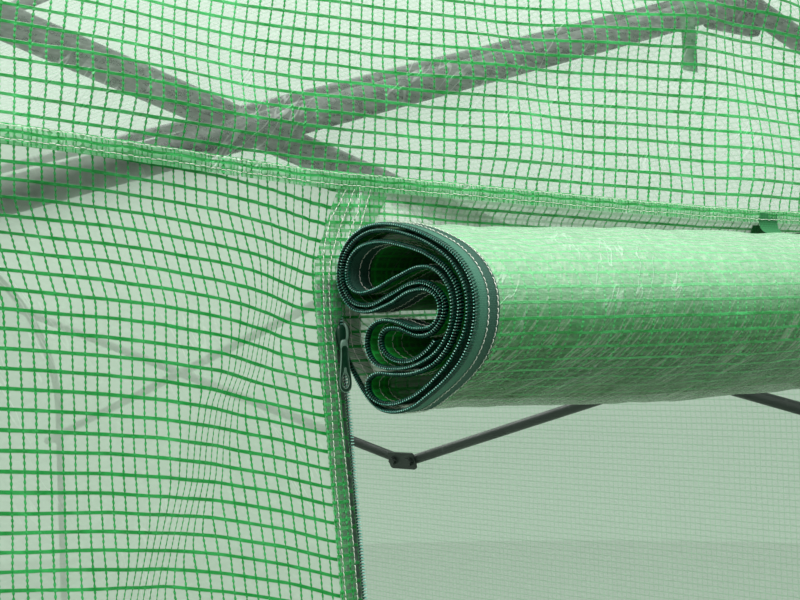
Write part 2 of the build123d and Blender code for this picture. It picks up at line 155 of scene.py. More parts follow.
def coat_with(node_name, finish):
    """Gives a tube, plate or nut from the frame its finish."""
    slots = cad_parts[node_name].data.materials
    slots.clear()
    slots.append(finish)


def powder_coat(name, colour, worn, grain):
    """Satin paint: fine orange peel, cloudy colour and rubbed places."""
    finish, base = new_finish(name)
    place = base.add("TexCoord", output="Object")
    cloud = base.noise(place, 9.0, 3.0)
    peel = base.noise(place, grain, 2.0)
    rubbed = base.noise(place, 55.0, 5.0, 0.7).rise(0.58, 0.72)
    shade = cloud.rise(0.35, 0.7).tint(colour, tuple(0.72 * c for c in colour[:3]) + (1.0,))
    paint = (rubbed * 0.55).tint(shade, worn)
    height = base.add("Bump", {"Strength": 0.35, "Distance": 0.0004,
                               "Height": peel + rubbed * -0.5})
    roughness = cloud.rise(0.3, 0.8, 0.34, 0.5) + rubbed * 0.1
    shader = base.add("BsdfPrincipled", {"Base Color": paint, "Roughness": roughness,
                                         "Normal": height})
    base.add("OutputMaterial", {0: shader})
    return finish


tube_paint = powder_coat("tube_paint", rgb(30, 38, 35), rgb(70, 80, 74), 900.0)
for node_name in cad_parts:
    if any(word in node_name for word in ("leg", "arch", "rail", "brace")):
        coat_with(node_name, tube_paint)

# Brackets and clamps: flat plates and domed nuts in a blacker paint, screwed through the tubes
# where two braces or a brace and a hoop meet.
plate_paint = powder_coat("plate_paint", rgb(22, 30, 27), rgb(62, 72, 66), 1400.0)
for node_name in ("front_bracket_top", "front_bracket_low",
                  "front_brace_clamp_left", "front_brace_clamp_right"):
    coat_with(node_name, plate_paint)

# End wall film: clear film with a woven green grid laminated into it, ten millimetres to a cell.
# Flat tapes lie across and twisted threads run up. It is sewn to the header seam and the door
# zips, and it is drawn in at the door's upper corners.
HALF = 0.95
SHOULDER_Z = 1.45
SHOULDER_R = 0.5
SHOULDER_X = HALF - SHOULDER_R
CROWN_Z = 1.04375
CROWN_R = 1.10625
CROWN_ANGLE = radians(42.08)
HEADER = 1.735
FILM_OUT = 0.0095
GABLE_HALF = 0.857
PANEL_TOP = 1.7365
PANEL_EDGE = 0.4345
CELLS = 100.0
CELL = 0.01
TWIST_PITCH = 0.0031
SECOND_SHIFT = (0.0043, 0.0047)


def bow_half(height, offset=FILM_OUT):
    """Half width of the hoop at a height: upright, then the shoulder's arc, then the crown's."""
    corner = SHOULDER_R + offset
    rise = np.clip(height - SHOULDER_Z, 0.0, corner)
    shoulder = SHOULDER_X + np.sqrt(corner ** 2 - rise ** 2)
    crown = np.sqrt(np.maximum((CROWN_R + offset) ** 2 - (height - CROWN_Z) ** 2, 0.0))
    return np.where(height > SHOULDER_Z + corner * sin(CROWN_ANGLE), crown, shoulder)


def bow_height(across, offset=FILM_OUT):
    """Height of the hoop at a distance from the middle: the crown's arc, then the shoulder's."""
    crown = CROWN_Z + np.sqrt(np.maximum((CROWN_R + offset) ** 2 - across ** 2, 0.0))
    side = np.clip(np.abs(across) - SHOULDER_X, 0.0, SHOULDER_R + offset)
    shoulder = SHOULDER_Z + np.sqrt((SHOULDER_R + offset) ** 2 - side ** 2)
    return np.where(np.abs(across) > (CROWN_R + offset) * cos(CROWN_ANGLE), shoulder, crown)


def smooth(value, low, high):
    """Smooth step from 0 to 1 between low and high."""
    part = np.clip((value - low) / (high - low), 0.0, 1.0)
    return part * part * (3.0 - 2.0 * part)


def seam_z(across):
    """Height of the header seam, which sags towards the middle of the door."""
    return np.interp(
        np.abs(across),
        [0, 0.083, 0.198, 0.297, 0.416, 0.458, 0.528, 0.59, 0.70, GABLE_HALF],
        [1.7185, 1.719, 1.7212, 1.7235, 1.7262, 1.7272, 1.732, 1.7365, 1.743, 1.749])


def jamb_sway(height):
    """How far the free edge beside the door swings out of the wall at a height."""
    return np.interp(height, [0, 0.7, 1.25, 1.487, 1.517, 1.543, 1.573, 1.598, 1.64],
                     [0, 0.005, 0.012, 0.010, 0.0078, 0.0055, 0.003, 0.001, 0])


def jamb_lean(height):
    """How far the zip leans towards the door above the slider, where the corner is drawn in."""
    return np.interp(height, [1.60, 1.66, 1.68, 1.69, 1.703, 1.72, 1.74],
                     [0, -0.0035, -0.003, 0.0008, 0.0062, 0.014, 0.017])


def make_mesh(name, points, faces, finish, uv=None):
    """Object from vertices and faces, shaded smooth, with an optional map of the flat cloth."""
    mesh = bpy.data.meshes.new(name)
    mesh.from_pydata(np.asarray(points, float).reshape(-1, 3).tolist(), [], faces)
    mesh.polygons.foreach_set("use_smooth", np.ones(len(mesh.polygons), bool))
    if uv is not None:
        corners = np.zeros(len(mesh.loops), int)
        mesh.loops.foreach_get("vertex_index", corners)
        flat = np.asarray(uv, float).reshape(-1, 2)[corners].ravel()
        mesh.uv_layers.new(name="cloth").data.foreach_set("uv", flat)
    mesh.materials.append(finish)
    piece = bpy.data.objects.new(name, mesh)
    bpy.context.collection.objects.link(piece)
    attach(piece, "root")
    return piece


def grid_faces(rows, cols, flip=False, wrap=False):
    """Quads between the neighbours of a grid, turned over with flip, closed round with wrap."""
    index = np.arange(rows * cols).reshape(rows, cols)
    if wrap:
        index = np.concatenate([index, index[:, :1]], axis=1)
    quads = np.stack([index[:-1, :-1], index[:-1, 1:], index[1:, 1:], index[1:, :-1]], axis=-1)
    quads = quads.reshape(-1, 4)
    return (quads[:, ::-1] if flip else quads).tolist()


def run_along(points):
    """Distance run along a row of points at each of them."""
    return np.concatenate([[0], np.cumsum(np.linalg.norm(np.diff(points, axis=0), axis=1))])


def cloth(name, points, uv, finish, flip=False):
    """Sheet over a grid of points with its flat map."""
    return make_mesh(name, points, grid_faces(*points.shape[:2], flip=flip), finish, uv)


def grid_film(name, clear=0.04, contrast=1.0, second=0.0, milky=rgb(214, 222, 214), crinkle=1.0,
              glow=0.45, behind=(rgb(232, 240, 232), rgb(40, 178, 86)), turns=None, relief=True):
    """Gridded film: tapes and twisted threads as masks on the cloth's own map, haze between them.

    Clear is the film's own cover and contrast its grid's strength. A second grid shows through
    where the cloth is doubled. Crinkle is how creased it is, and glow how much of the light comes
    through from behind, in the two colours of behind: through the film and through its threads.
    Turns give the cloth's colour along a roll: painted shade under it and in its hollows, painted
    light on its top, with the layers underneath showing through.
    Relief is left off where it can't be seen.
    """
    finish, base = new_finish(name)
    flat = base.add("TexCoord", output="UV")
    wander = base.noise(flat, 40.0, 1.0) - 0.5
    across, along, _ = flat.axes()
    across = across + wander * 0.0016
    along = along + (base.noise(flat.stretch((14.0, 60.0, 1.0)), 1.0, 1.0) - 0.5) * 0.0016
    uneven = base.noise(flat.stretch((100.0, 20.0, 1.0)), 1.0, 1.0)
    twist = (along * (2 * pi / TWIST_PITCH) + uneven * 9.0).math("SINE")
    loose = base.noise(flat.stretch((100.0, 9.0, 1.0)), 1.0, 1.0)

    def tapes(shift_across, shift_along):
        """Masks of the threads that run up and of the tapes that lie across."""
        cell_u = (((across + shift_across) * CELLS).math("FRACT") - 0.5).math("ABSOLUTE")
        cell_v = (((along + shift_along) * CELLS).math("FRACT") - 0.5).math("ABSOLUTE")
        up = (cell_u - twist * 0.03 - loose * 0.04).rise(0.035, 0.085, 1.0, 0.0)
        over = (cell_v - loose * 0.04).rise(0.055, 0.11, 1.0, 0.0)
        return up, over

    up, over = tapes(0.0, 0.0)
    grid = up.math("MAXIMUM", over)
    if second:
        up_2, over_2 = tapes(*SECOND_SHIFT)
        grid = grid.math("MAXIMUM", (up_2.math("MAXIMUM", over_2)) * second)
    patchy = base.noise(flat, 70.0, 3.0)
    glare = base.noise(flat, 13.0, 2.0).rise(0.52, 0.7)
    # The tapes' green varies at random in patches, is painted lighter in the glare patches as a
    # highlight, and along each twisted thread is painted lighter and darker as highlight and shade
    # on its turns.
    tone = patchy.rise(0.3, 0.7) * 0.45 + glare * 0.35 + up * twist * 0.35 + 0.06
    tone = tone.tint(rgb(4, 122, 36), rgb(84, 212, 122))
    haze = base.noise(flat.stretch((90.0, 260.0, 1.0)), 1.0, 3.0).rise(0.35, 0.75)
    if turns:
        # Along a roll the turns paint the light: painted shade, dark olive, under it and on its
        # lower front, and painted light, pale, on its upper front and top.
        film = base.add("ValToRGB", {"Fac": along}, stops=turns)
        # Whitish slanting streaks, and more haze on the roll's top as a painted sheen.
        slant = flat.stretch((1.0, 1.0, 1.0), (0, 0, 0.62)).stretch((480.0, 22.0, 1.0))
        striae = base.noise(slant, 1.0, 3.0).rise(0.53, 0.64) * along.rise(0.27, 0.33, 0.5, 0.35)
        film = (striae + haze * along.rise(0.27, 0.33, 0.05, 0.15)).tint(film, rgb(206, 216, 196))
        # Painted shade in the roll's hollows behind its outer turn: the film and its tapes go dark
        # green there.
        inner = along.rise(0.455, 0.50)
        # The tapes are painted lighter on the roll's upper front and top as a highlight.
        tone = (along.rise(0.30, 0.325) * 0.5).tint(tone, rgb(120, 216, 146))
        tone = inner.tint(tone, rgb(34, 196, 74))
        film = inner.tint(film, rgb(12, 126, 34))
        # Painted sheen washes the grid out on the roll's upper front and top, and painted shade
        # weakens it under the roll.
        grid = (over * 0.15 + grid * 0.85) * along.rise(0.30, 0.325, 1.0, 0.75)
        under = along.rise(0.13, 0.18, 1.0, 0.45)
        grid = grid * under.math("MAXIMUM", along.rise(0.225, 0.285, 0.45, 1.0))
    else:
        film = haze.tint(milky, tuple(min(0.95, 1.15 * c) for c in milky[:3]) + (1.0,))
    colour = (grid * contrast).tint(film, tone)
    alpha = clear + haze * 0.1 + grid * ((0.9 - clear) * contrast)
    roughness = haze.rise(0.0, 1.0, 0.22, 0.34)
    look = {}
    if relief:
        creases = base.noise(flat.stretch((130.0, 300.0, 1.0), (0, 0, 0.5)), 1.0, 3.0, 0.6)
        bias = flat.stretch((1.0, 1.0, 1.0), (0, 0, 0.7)).stretch((34.0, 8.0, 1.0))
        sharp = (base.noise(bias, 1.0, 3.0, 0.6) - 0.5).math("ABSOLUTE")
        sharp = sharp.rise(0.004, 0.014, 0.4 if turns else 1.0, 0.0)
        sharp = sharp * base.noise(flat, 9.0, 1.0).rise(0.5, 0.62)
        # Sharp creases painted near white: painted glints, partly whitened stress marks in the
        # film.
        colour = (sharp * (1.0 - grid) * 0.7).tint(colour, rgb(236, 242, 236))
        height = grid * 0.6 + creases * (0.9 * crinkle) + up * twist * 0.2 + sharp * crinkle
        look["Normal"] = base.add("Bump", {"Strength": 0.7, "Distance": 0.0006, "Height": height})
        # Creases also made more opaque, so they show pale: painted glare, partly whitened film.
        alpha = alpha + creases.rise(0.5, 0.75) * 0.1 * crinkle + sharp * 0.25
    if turns:
        # The hollows' painted shade is also made more opaque there, and rougher.
        alpha = alpha + inner * 0.3
        roughness = roughness + inner * 0.4
    look.update({"Base Color": colour, "Alpha": alpha, "Roughness": roughness})
    front = base.add("BsdfPrincipled", look)
    through, lit_thread = [base.add("BsdfTranslucent", {"Color": light}) for light in behind]
    back = base.add("MixShader", {0: grid * contrast, 1: through, 2: lit_thread})
    shader = base.add("MixShader", {0: glow, 1: front, 2: back})
    base.add("OutputMaterial", {0: shader})
    return finish


wall_film = grid_film("wall_film", crinkle=1.6, glow=0.25)
panel_film = grid_film("panel_film", milky=rgb(198, 213, 201), glow=0.6, crinkle=1.3,
                       behind=(rgb(222, 230, 220), rgb(24, 148, 64)))


def front_panel(side):
    """Panel beside the door on a grid of heights and distances from the zip to the hoop.

    It swings out along the zip, sinks in a slanting fold that starts at the drawn-in corner, and
    billows a little between its edges.
    """
    heights = np.concatenate([np.linspace(0.0, 1.30, 90)[:-1], np.linspace(1.30, PANEL_TOP, 112)])
    steps = np.concatenate([np.linspace(0.0, 0.40, 64)[:-1], np.linspace(0.40, 1.0, 42)])
    z, step = np.meshgrid(heights, steps, indexing="ij")
    inner = PANEL_EDGE - jamb_lean(z)
    for _ in range(3):
        outer = bow_half(z)
        across = inner + step * (outer - inner)
        z = heights[:, None] * seam_z(across) / heights[-1]
        inner = PANEL_EDGE - jamb_lean(z)
    from_jamb = across - inner
    to_hoop = outer - across
    crease = np.interp(z, [1.30, 1.45, 1.512, 1.537, 1.566, 1.587, 1.606, 1.622, 1.658, 1.70],
                       [0.66, 0.590, 0.549, 0.530, 0.508, 0.500, 0.490, 0.474, 0.456, 0.442])
    depth = np.interp(z, [1.2, 1.35, 1.45, 1.51, 1.56, 1.61, 1.64, 1.668, 1.70, 1.725],
                      [0, 4, 9, 13, 16, 18, 17, 13, 5, 0]) / 1000
    past = across - crease
    flank = np.where(past > 0, 1 - np.sqrt(past ** 2 + 0.004 ** 2) / 0.048,
                     1 - np.sqrt(past ** 2 + 0.0025 ** 2) / np.maximum(crease - inner, 0.02))
    fold = depth * np.maximum(flank, 0.0)
    edge = smooth(to_hoop, 0.0, 0.12)
    billow = 0.004 * np.sin(across * 33 + z * 9) * np.sin(z * 14 + 1.0)
    billow = billow + 0.005 * np.sin(z * 4.1) ** 2
    billow = billow * edge * smooth(from_jamb, 0.0, 0.15) * (1 - smooth(z, 1.55, 1.70))
    gather = 0.0011 * np.sin(across * 520 + z * 60) * smooth(z, 1.66, 1.73)
    gather = gather * np.exp(-(from_jamb / 0.09) ** 2)
    out = jamb_sway(z) * np.exp(-(from_jamb / 0.2) ** 2) + billow + gather + 0.0012
    y = FRONT - out + fold
    pull = np.interp(across, [0.434, 0.452, 0.482, 0.52, 0.555, 0.59, 0.70, 0.95],
                     [0, 0.0035, 0.0113, 0.0195, 0.0255, 0.0303, 0.040, 0.046])
    share = np.interp(z, [0, 0.8, 1.2, 1.4, 1.5, 1.56, 1.62, 1.66, 1.68, 1.727, 1.735],
                      [0, 0.3, 1.0, 1.5, 1.4, 1.2, 1.14, 1.05, 1, 0.77, 0.72])
    tall = np.interp(across, [0.434, 0.48, 0.59, 0.95], [1.02, 1.02, 1.03, 1.0])
    wide = np.linspace(0.40, 1.0, 300)
    cell_w = np.interp(wide, [0.434, 0.50, 0.59, 0.70, 0.85],
                       [0.0066, 0.0068, 0.0069, 0.0078, 0.009])
    count = np.cumsum(CELL / cell_w) * (wide[1] - wide[0])
    crowd = 0.024 * smooth(past, 0.0, 0.045)
    crowd = crowd * np.interp(z, [1.2, 1.5, 1.66, 1.71], [0.2, 1, 1, 0.2])
    uv = np.stack([np.interp(across, wide, count) + crowd,
                   2.0022 + (z - 1.70 - pull * share) / tall], axis=-1)
    name = "film_panel_" + ("right" if side > 0 else "left")
    return cloth(name, np.stack([side * across, y, z], axis=-1), uv, panel_film, flip=side < 0)


for side, word in ((-1, "left"), (1, "right")):
    panel = front_panel(side)
    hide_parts("front_panel_" + word)

gable_across = np.linspace(-GABLE_HALF, GABLE_HALF, 260)
gable_up = np.linspace(0.0, 1.0, 70)
up, across = np.meshgrid(gable_up, gable_across, indexing="ij")
low = seam_z(across)
z = low + up * (np.maximum(bow_height(across), low + 0.0005) - low)
from_edge = (bow_height(across) - z) * smooth(bow_half(z) - np.abs(across), 0.0, 0.05)
from_seam = smooth(z - low, 0.004, 0.035)
brace_z = 1.894 - 0.284 * np.abs(across)
over_tube = np.exp(-((z - brace_z) / 0.016) ** 2)
low_brace = 1.627 + 0.284 * np.abs(across)
over_low = np.exp(-((z - low_brace) / 0.03) ** 2)
billow = 0.0035 * np.sin(across * 21 + 1.0) * np.sin(z * 40) + 0.002 * np.sin(across * 47 + z * 30)
out = 0.0012 + (0.004 * over_tube + 0.0015 * over_low) * from_seam
out = out + (billow + 0.0035) * smooth(from_edge, 0.0, 0.06) * from_seam
ruffle = 0.0012 * np.sin(across * 430) * np.exp(-(z - low) / 0.012)
out = np.maximum(out + ruffle, 0.0008)
cell_w = np.interp(np.abs(gable_across), [0, 0.10, 0.15, 0.20, 0.26, 0.34, 0.446, 0.48, 0.52, 0.86],
                   [0.0143, 0.0138, 0.0126, 0.0118, 0.011, 0.0102, 0.0088, 0.008, 0.0078, 0.0085])
count = np.cumsum(CELL / cell_w) * (gable_across[1] - gable_across[0])
row_h = np.interp(np.abs(across), [0, 0.09, 0.22, 0.34, 0.50, 0.59, 0.86],
                  [0.0121, 0.0118, 0.01065, 0.0097, 0.0088, 0.0087, 0.009])
slant = 0.3 * np.sign(across) * np.maximum(z - 1.79, 0.0)
slant = slant * np.exp(-((np.abs(across) - 0.56) / 0.1) ** 2)
uv = np.stack([count + slant, 1.0 + (z - low) * CELL / row_h], axis=-1)
gable = cloth("film_gable", np.stack([across, FRONT - out, z], axis=-1), uv, wall_film)
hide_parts("front_gable_panel")

# Tunnel cover: two side sheets and one roof sheet of the same film over the hoops and rails,
# hemmed at the ground and held by the frame.
cover_film = grid_film("cover_film", clear=0.1, contrast=0.36, glow=0.45, relief=False)
LAP = 0.0007


def bow_points(offset, count):
    """Points over the hoop from the right shoulder to the left one, evenly along its length."""
    corner = SHOULDER_R + offset
    crown = CROWN_R + offset
    run = np.array([0, corner * CROWN_ANGLE, corner * CROWN_ANGLE + crown * (pi - 2 * CROWN_ANGLE),
                    2 * corner * CROWN_ANGLE + crown * (pi - 2 * CROWN_ANGLE)])
    along = np.linspace(0, run[-1], count)
    angle = np.interp(along, run, [0, CROWN_ANGLE, pi - CROWN_ANGLE, pi])
    on_crown = (angle > CROWN_ANGLE) & (angle < pi - CROWN_ANGLE)
    side = np.where(angle < pi / 2, 1, -1)
    x = np.where(on_crown, crown * np.cos(angle), side * SHOULDER_X + corner * np.cos(angle))
    z = np.where(on_crown, CROWN_Z + crown * np.sin(angle), SHOULDER_Z + corner * np.sin(angle))
    return np.stack([x, z], axis=-1), along, angle


COVER_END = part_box("roof_cover")[1][1]
bow_line, bow_along, bow_angle = bow_points(FILM_OUT + LAP, 150)
cover_y = np.linspace(FRONT, COVER_END, 150)
angle, y = np.meshgrid(bow_angle, cover_y, indexing="ij")
between = np.sin(pi * (cover_y - FRONT) / (COVER_END - FRONT)) ** 2
slack = 0.004 * between[None, :] * (np.cos(angle * 7) * 0.5 - 0.6)
slack = slack + 0.0015 * np.sin(y * 17 + angle * 8) * between[None, :]
x = bow_line[:, 0][:, None] + slack * np.cos(angle)
z = bow_line[:, 1][:, None] + slack * np.sin(angle)
uv = np.stack(np.broadcast_arrays(cover_y[None, :], bow_along[:, None]), axis=-1)
roof = cloth("film_roof", np.stack([x, y, z], axis=-1), uv, cover_film, flip=True)
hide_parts("roof_cover")

for side, word in ((-1, "left"), (1, "right")):
    z, y = np.meshgrid(np.linspace(0.0, SHOULDER_Z, 90), cover_y, indexing="ij")
    between = np.sin(pi * (y - FRONT) / (COVER_END - FRONT)) ** 2
    waves = 0.006 + 0.002 * np.sin(y * 9 + z * 3) + 0.001 * np.sin(y * 31 - z * 12)
    x = side * (HALF + FILM_OUT + LAP - between * np.sin(pi * z / SHOULDER_Z) * waves)
    uv = np.stack([y, z + 0.005], axis=-1)
    points = np.stack([x, y, z], axis=-1)
    cover = cloth("film_side_" + word, points, uv, cover_film, flip=side < 0)
    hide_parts("side_cover_" + word)

# Rolled door: one sheet of the gridded film, a zip tape along each side. It hangs from the
# header seam behind the roll, goes under it and up its front, and lies in loose folded layers.
ROLL_LINE = np.array([
    (0.0, 0.0), (0.0, 49.0), (0.0, 86.0), (0.0, 108.0), (2.6, 117.0), (12.2, 126.0),
    (23.2, 132.5), (37.2, 137.3), (47.6, 138.4), (62.6, 136.3), (79.1, 128.3), (93.0, 119.8),
    (105.5, 109.0), (112.5, 97.8), (115.6, 84.8), (114.7, 73.1), (108.0, 61.1), (97.2, 51.7),
    (83.2, 44.5), (65.9, 38.3), (47.6, 34.8), (27.7, 36.2), (16.4, 41.7), (7.6, 52.3),
    (5.8, 59.0), (6.2, 65.9), (9.4, 73.0), (20.1, 81.3), (28.1, 82.5), (48.1, 79.2),
    (67.5, 72.6), (82.0, 73.3), (87.0, 76.7), (89.2, 81.7), (88.4, 86.3), (84.9, 90.6),
    (69.8, 93.2), (53.1, 89.0), (44.8, 88.0), (37.1, 89.2), (30.4, 93.9), (28.3, 99.7),
    (29.8, 106.2), (35.1, 111.4), (53.1, 114.5), (73.5, 111.3), (88.1, 103.5), (97.0, 90.5),
    (97.7, 75.7), (88.9, 64.0), (82.6, 60.9), (74.8, 60.2), (56.6, 64.5), (34.5, 71.1),
    (26.5, 72.1), (18.9, 70.5), (14.2, 66.1), (13.3, 59.5), (15.8, 52.8), (22.0, 47.5),
    (38.7, 44.0), (60.7, 47.3), (81.9, 54.2), (98.4, 65.4), (103.0, 73.0), (104.5, 80.7),
    (99.2, 97.5), (86.0, 111.0), (67.8, 117.2), (47.2, 117.9), (38.6, 117.3), (32.7, 118.6),
    (28.3, 122.0), (28.9, 127.6), (34.8, 132.2), (43.3, 134.0), (62.9, 130.7), (83.4, 119.8),
    (98.8, 106.7), (107.9, 92.3), (109.5, 84.6), (109.1, 75.7), (100.8, 60.7), (84.5, 49.3),
    (65.7, 42.1), (44.7, 38.1), (33.6, 38.5), (17.1, 45.5), (11.7, 51.4), (9.1, 58.1),
    (9.2, 64.4), (12.2, 70.8), (16.8, 75.7), (30.6, 79.0), (49.5, 74.2), (67.7, 68.6),
    (75.7, 68.3), (83.4, 70.5), (89.6, 74.6), (92.8, 79.7), (92.5, 85.0), (88.8, 91.2),
    (80.8, 96.4), (71.8, 97.3), (53.5, 92.8), (45.5, 93.3), (40.9, 97.3), (40.7, 102.3),
    (45.3, 106.9), (62.3, 110.6), (79.6, 103.6), (84.6, 99.4),
]) / 1000
DOOR_HALF = 0.4366
LEAD_HALF = 0.4245
ROLL_END = 0.441
COIL_W = 0.0044
ROLL_Y = FRONT + 0.00015


def along_line(points, spacing):
    """Smooth line through points: cubic spans on chord length, mean slopes, evenly resampled."""
    chord = run_along(points)
    slope = np.gradient(points, chord, axis=0)
    fine = np.linspace(0, chord[-1], len(points) * 24)
    span = np.clip(np.searchsorted(chord, fine, side="right") - 1, 0, len(chord) - 2)
    step = (chord[span + 1] - chord[span])[:, None]
    t = ((fine - chord[span]) / step[:, 0])[:, None]
    line = ((2 * t ** 3 - 3 * t ** 2 + 1) * points[span]
            + (t ** 3 - 2 * t ** 2 + t) * step * slope[span]
            + (3 * t ** 2 - 2 * t ** 3) * points[span + 1]
            + (t ** 3 - t ** 2) * step * slope[span + 1])
    run = run_along(line)
    even = np.linspace(0, run[-1], int(run[-1] / spacing) + 1)
    return np.stack([np.interp(even, run, line[:, k]) for k in (0, 1)], axis=-1), even


def rolled(line, run, x, lift=0.0):
    """Places on the rolled strip for runs along it and distances across the door.

    The strip's line is lifted along its normal, grows a little towards the middle of the door,
    follows the sagging seam at its top and hangs slightly inwards behind the roll.
    """
    way = np.gradient(line, run, axis=0)
    way /= np.linalg.norm(way, axis=1)[:, None]
    out = (line[:, 0] + lift * way[:, 1])[:, None]
    down = (line[:, 1] - lift * way[:, 0])[:, None]
    in_roll = smooth(run, 0.06, 0.13)[:, None]
    middle = smooth(ROLL_END - np.abs(x), 0.0, 0.27)[None, :]
    out = out + in_roll * middle * 0.05 * (out - 0.053)
    down = down + in_roll * middle * np.where(down > 0.086, 0.16, 0.06) * (down - 0.086)
    hang = (smooth(run, 0.0, 0.014) * (1 - smooth(run, 0.07, 0.11)))[:, None]
    out = out - 0.009 * hang * smooth(ROLL_END - np.abs(x), 0.02, 0.12)[None, :]
    sag = (seam_z(x)[None, :] - HEADER) * (1 - smooth(run, 0.0, 0.09))[:, None]
    return out, HEADER - down + sag


def door_half(run):
    """Half width of the door's film along its run.

    It reaches the zip where it hangs, is narrow as it leaves the sliders and wide in the roll.
    """
    hang = 0.4300 - jamb_lean(HEADER - run)
    lead = hang + (LEAD_HALF - hang) * smooth(run, 0.098, 0.122)
    return lead + (DOOR_HALF - LEAD_HALF) * smooth(run, 0.112, 0.172)


roll_line, roll_run = along_line(ROLL_LINE, 0.0028)
roll_x = np.linspace(-1.0, 1.0, 131)
roll_x = DOOR_HALF * np.sign(roll_x) * (1 - (1 - np.abs(roll_x)) ** 1.25)
out, z = rolled(roll_line, roll_run, roll_x)
x = roll_x[None, :] * (door_half(roll_run) / DOOR_HALF)[:, None]
way = np.gradient(roll_line, roll_run, axis=0)
normal = np.stack([way[:, 1], -way[:, 0]], axis=-1)
s = roll_run[:, None]
outer = (smooth(roll_run, 0.15, 0.19) * (1 - smooth(roll_run, 0.38, 0.43)))[:, None]
calm = smooth(DOOR_HALF - np.abs(x), 0.012, 0.05)
dents = (0.0006 * np.sin(x * 61 + s * 38) * np.sin(s * 55 - x * 9)
         + 0.0003 * np.sin(x * 140 - s * 120 + 2 * np.sin(x * 31))
         + 0.0002 * np.sin(x * 210 + s * 190))
dents = dents * (0.15 + 0.85 * outer) * calm
out = out + dents * normal[:, :1]
z = z - dents * normal[:, 1:]
wide = 1.12 - 0.22 * smooth(s, 0.085, 0.12)
uv = np.stack([x / wide + 0.5, np.broadcast_to(s * 1.163 + 0.0063, out.shape)], axis=-1)
# Colours of the door film along its run: pale where it hangs, then painted shade, dark olive, under
# the roll and on its lower front, and painted light on its upper front and top.
turns = ((0.118, rgb(214, 222, 214)), (0.175, rgb(176, 186, 166)), (0.20, rgb(92, 106, 74)),
         (0.26, rgb(34, 60, 26)), (0.285, rgb(54, 102, 54)), (0.302, rgb(80, 136, 90)),
         (0.322, rgb(146, 188, 154)), (0.37, rgb(176, 199, 180)), (0.45, rgb(176, 197, 178)))
door_film = grid_film("door_film", clear=0.62, second=0.45, crinkle=1.8, glow=0.08, turns=turns)
door = cloth("film_door", np.stack([x, ROLL_Y - out, z], axis=-1), uv, door_film)
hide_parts("rolled_door")

# Zips: a dark green coil of nylon on a woven tape down each jamb and each edge of the door,
# sewn on behind the film with two rows of off-white thread.
ZIP_PITCH = 0.00173
ZIP_X = 0.4323
ZIP_TOP = 1.672
TURN_STEPS = 8
ANY_WAY = (0.31, 0.52, 0.79)
ACROSS = np.array([1.0, 0.0, 0.0])
OUTWARD = np.array([0.0, -1.0, 0.0])


def strands(name, paths, radius, finish, sides=5, ahead_of=None):
    """Round strands along many paths at once, with flat ends.

    Each ring stands across its path: its first axis is square to the path and to ahead_of.
    """
    count, length = paths.shape[:2]
    way = np.gradient(paths, axis=1)
    way /= np.linalg.norm(way, axis=2)[..., None] + 1e-12
    ahead_of = ANY_WAY if ahead_of is None else ahead_of
    first = np.cross(way, np.broadcast_to(ahead_of, way.shape))
    first /= np.linalg.norm(first, axis=2)[..., None] + 1e-12
    second = np.cross(way, first)
    turn = np.arange(sides) * 2 * pi / sides
    round_it = (np.cos(turn)[:, None] * first[:, :, None]
                + np.sin(turn)[:, None] * second[:, :, None])
    rings = paths[:, :, None] + radius * round_it
    index = np.arange(count * length * sides).reshape(count, length, sides)
    after = np.roll(index, -1, axis=2)
    quads = np.stack([index[:, :-1], after[:, :-1], after[:, 1:], index[:, 1:]], axis=-1)
    quads = quads.reshape(-1, 4)
    ends = [index[:, 0, ::-1], index[:, -1]]
    return make_mesh(name, rings, quads.tolist() + ends[0].tolist() + ends[1].tolist(), finish)


def coil_path(centre, forward, width=COIL_W - 0.0009, thick=0.0019):
    """Flat helix about a line: it goes round an ellipse, width by thick, once in each pitch."""
    run = run_along(centre)
    turns = int(run[-1] / ZIP_PITCH)
    along = np.linspace(0, turns * ZIP_PITCH, turns * TURN_STEPS)
    place = np.stack([np.interp(along, run, centre[:, k]) for k in range(3)], axis=-1)
    front = np.stack([np.interp(along, run, forward[:, k]) for k in range(3)], axis=-1)
    front /= np.linalg.norm(front, axis=1)[:, None]
    phase = (2 * pi * along / ZIP_PITCH)[:, None]
    ahead_of = np.gradient(place, axis=0)
    ahead_of /= np.linalg.norm(ahead_of, axis=1)[:, None] + 1e-12
    return place + np.cos(phase) * width / 2 * ACROSS + np.sin(phase) * thick / 2 * front, ahead_of


def nylon(name, dark, light):
    """Moulded nylon filament: glossy, darker in patches."""
    finish, base = new_finish(name)
    place = base.add("TexCoord", output="Object")
    colour = base.noise(place, 300.0, 2.0).rise(0.35, 0.7).tint(dark, light)
    rough = base.noise(place, 800.0, 2.0).rise(0.3, 0.7, 0.22, 0.38)
    shader = base.add("BsdfPrincipled", {"Base Color": colour, "Roughness": rough})
    base.add("OutputMaterial", {0: shader})
    return finish


